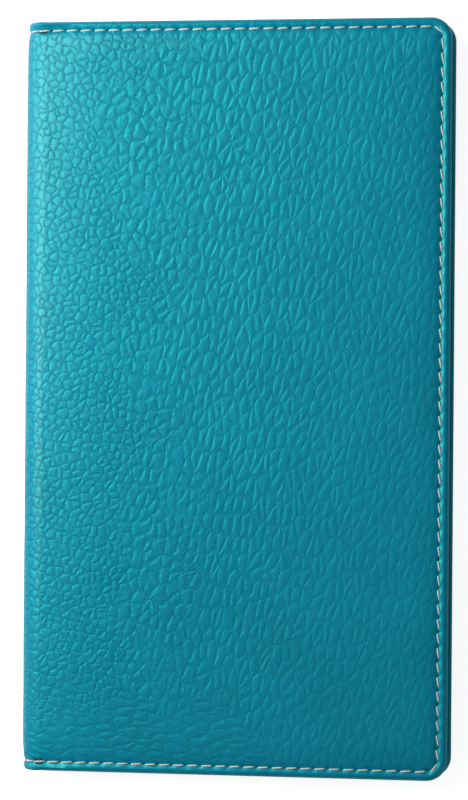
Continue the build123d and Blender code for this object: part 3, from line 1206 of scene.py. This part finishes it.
def add_floor():
    """A pale floor that shows white and keeps the calendar's shadow."""
    bm = bmesh.new()
    bmesh.ops.create_grid(bm, x_segments=1, y_segments=1, size=FLOOR_HALF)
    mesh = bpy.data.meshes.new("floor")
    bm.to_mesh(mesh)
    bm.free()
    material, tree, shader = new_material(
        "Pale floor", roughness=0.9, Base_Color=opaque(FLOOR_COLOUR), Emission_Strength=1.0
    )
    seen = add_node(tree, "ShaderNodeLightPath").outputs["Is Camera Ray"]
    feed(shader, Emission_Color=product(tree, seen, FLOOR_GLOW))
    mesh.materials.append(material)
    add_to_scene("floor", mesh)


def light_world():
    """A white world to the camera, dim to the leather's sheen."""
    world = bpy.data.worlds.new("Pale room")
    bpy.context.scene.world = world
    world.use_nodes = True
    tree = world.node_tree
    rays = add_node(tree, "ShaderNodeLightPath").outputs
    dim = blend_values(tree, rays["Is Glossy Ray"], settings("stage").world_strength, ROOM_GLOSS)
    background = tree.nodes["Background"]
    background.inputs["Color"].default_value = WHITE
    tree.links.new(blend_values(tree, rays["Is Camera Ray"], dim, 1.0), background.inputs["Strength"])


def add_light(name, place, size, energy):
    """A soft box, turned to the calendar."""
    lamp = bpy.data.lights.new(name, "AREA")
    lamp.shape = "RECTANGLE"
    lamp.size, lamp.size_y = size
    lamp.energy = energy
    light = add_to_scene(name, lamp)
    light.location = place
    away = Vector(place) - Vector((0, 0, THICKNESS / 2))
    light.rotation_euler = away.to_track_quat("Z", "Y").to_euler()
    light.visible_camera = False


def add_camera():
    """A long lens above the cover, turned a little to the fore edge."""
    stage = settings("stage")
    data = bpy.data.cameras.new("camera")
    data.lens = stage.lens
    data.sensor_width = SENSOR
    data.clip_start = CLIP_START
    camera = add_to_scene("camera", data)
    away = Vector((math.sin(stage.camera_turn), 0, math.cos(stage.camera_turn)))
    camera.location = AIM + away * stage.camera_distance
    right = Vector((0, 1, 0)).cross(away)
    level = Matrix((right, away.cross(right), away)).transposed()
    camera.rotation_euler = (level @ Matrix.Rotation(stage.camera_roll, 3, "Z")).to_euler()
    bpy.context.scene.camera = camera


# Operators


class CALENDAR_OT_covers(Operator):
    """Makes the padded leather of both covers"""

    bl_idname = "calendar.covers"
    bl_label = "Leather covers"

    def execute(self, context):
        leather = saved(bpy.data.materials, "Grained leather", leather_material)
        for side in ("front", "back"):
            cover_skin(side, leather)
        return {"FINISHED"}


class CALENDAR_OT_spine(Operator):
    """Makes the leather and lining that bend round the spine"""

    bl_idname = "calendar.spine"
    bl_label = "Spine"

    def execute(self, context):
        leather = saved(bpy.data.materials, "Grained leather", leather_material)
        cloth = saved(bpy.data.materials, "Lining cloth", cloth_material)
        for number in range(1, len(CREASES) + 1):
            crease_strip(number, "leather", leather_section, leather)
            crease_strip(number, "lining", lining_section, cloth)
        repaint(("front_lining", "back_lining"), cloth)
        return {"FINISHED"}


class CALENDAR_OT_seams(Operator):
    """Sews the covers and the spine"""

    bl_idname = "calendar.seams"
    bl_label = "Seams"

    def execute(self, context):
        cover = settings("cover")
        bed = cover.field_rise + cover.groove_depth
        thread = saved(bpy.data.materials, "Sewing thread", thread_material)
        for side in ("front", "back"):
            cover_threads(side, bed, thread)
        spine_threads(bed, thread)
        return {"FINISHED"}


class CALENDAR_OT_inside(Operator):
    """Finishes what the cover holds: boards, padding, pockets, cards and the calendar's leaves"""

    bl_idname = "calendar.inside"
    bl_label = "Inside"

    def execute(self, context):
        look = settings("inside")
        hide = saved(bpy.data.materials, "Pocket leather", pocket_material)
        repaint(("front_pocket", "back_pocket", "front_pocket_hems", "back_pocket_hems"), hide)
        for nodes, name, colour, scale, roughness in (
            (("front_board", "back_board"), "Pressed board", look.board, 500.0, 0.85),
            (("front_padding", "back_padding"), "Foam padding", look.foam, 1300.0, 0.95),
            (("calendar_front_card", "calendar_back_card"), "End card", look.card, 700.0, 0.7),
        ):
            repaint(nodes, fibre_material(name, colour, scale, roughness))
        repaint(LEAF_NODES, saved(bpy.data.materials, "Calendar paper", paper_material))
        print_pages(saved(bpy.data.materials, "Printing ink", ink_material))
        return {"FINISHED"}


class CALENDAR_OT_stage(Operator):
    """Sets the floor, the lights, the world and the camera"""

    bl_idname = "calendar.stage"
    bl_label = "Stage"

    def execute(self, context):
        stage = settings("stage")
        context.scene.view_settings.view_transform = "Standard"
        add_floor()
        light_world()
        add_light("key", place=(-0.178, 0.088, 0.216), size=(0.28, 0.12), energy=stage.key_energy)
        add_light("rake", place=(-0.34, 0.18, 0.15), size=(0.3, 0.16), energy=stage.rake_energy)
        add_light("fill", place=(0.55, -0.45, 0.1), size=(0.5, 0.3), energy=stage.fill_energy)
        add_camera()
        return {"FINISHED"}


class CALENDAR_PT_panel(Panel):
    """Lists the calendar's settings and steps"""

    bl_idname = "CALENDAR_PT_panel"
    bl_label = "Pocket calendar"
    bl_space_type = "VIEW_3D"
    bl_region_type = "UI"
    bl_category = "Calendar"

    def draw(self, context):
        for name, group in GROUPS.items():
            box = self.layout.box()
            box.label(text=name.capitalize())
            for field in group.__annotations__:
                box.prop(settings(name), field)
        for step in STEPS:
            self.layout.operator(step.bl_idname)


GROUPS = {
    "cover": CoverSettings,
    "seam": SeamSettings,
    "leather": LeatherSettings,
    "inside": InsideSettings,
    "stage": StageSettings,
}
STEPS = (CALENDAR_OT_covers, CALENDAR_OT_spine, CALENDAR_OT_seams, CALENDAR_OT_inside, CALENDAR_OT_stage)
CLASSES = (*GROUPS.values(), *STEPS, CALENDAR_PT_panel)


def register():
    """Registers the classes and hangs the settings on the scene."""
    for cls in CLASSES:
        bpy.utils.register_class(cls)
    for name, group in GROUPS.items():
        setattr(bpy.types.Scene, "calendar_" + name, PointerProperty(type=group))


def unregister():
    """Takes the settings and the classes away again."""
    for name in GROUPS:
        delattr(bpy.types.Scene, "calendar_" + name)
    for cls in reversed(CLASSES):
        bpy.utils.unregister_class(cls)


def main():
    """Builds the whole scene."""
    register()
    for step in STEPS:
        family, name = step.bl_idname.split(".")
        getattr(getattr(bpy.ops, family), name)()


if __name__ == "__main__":
    main()
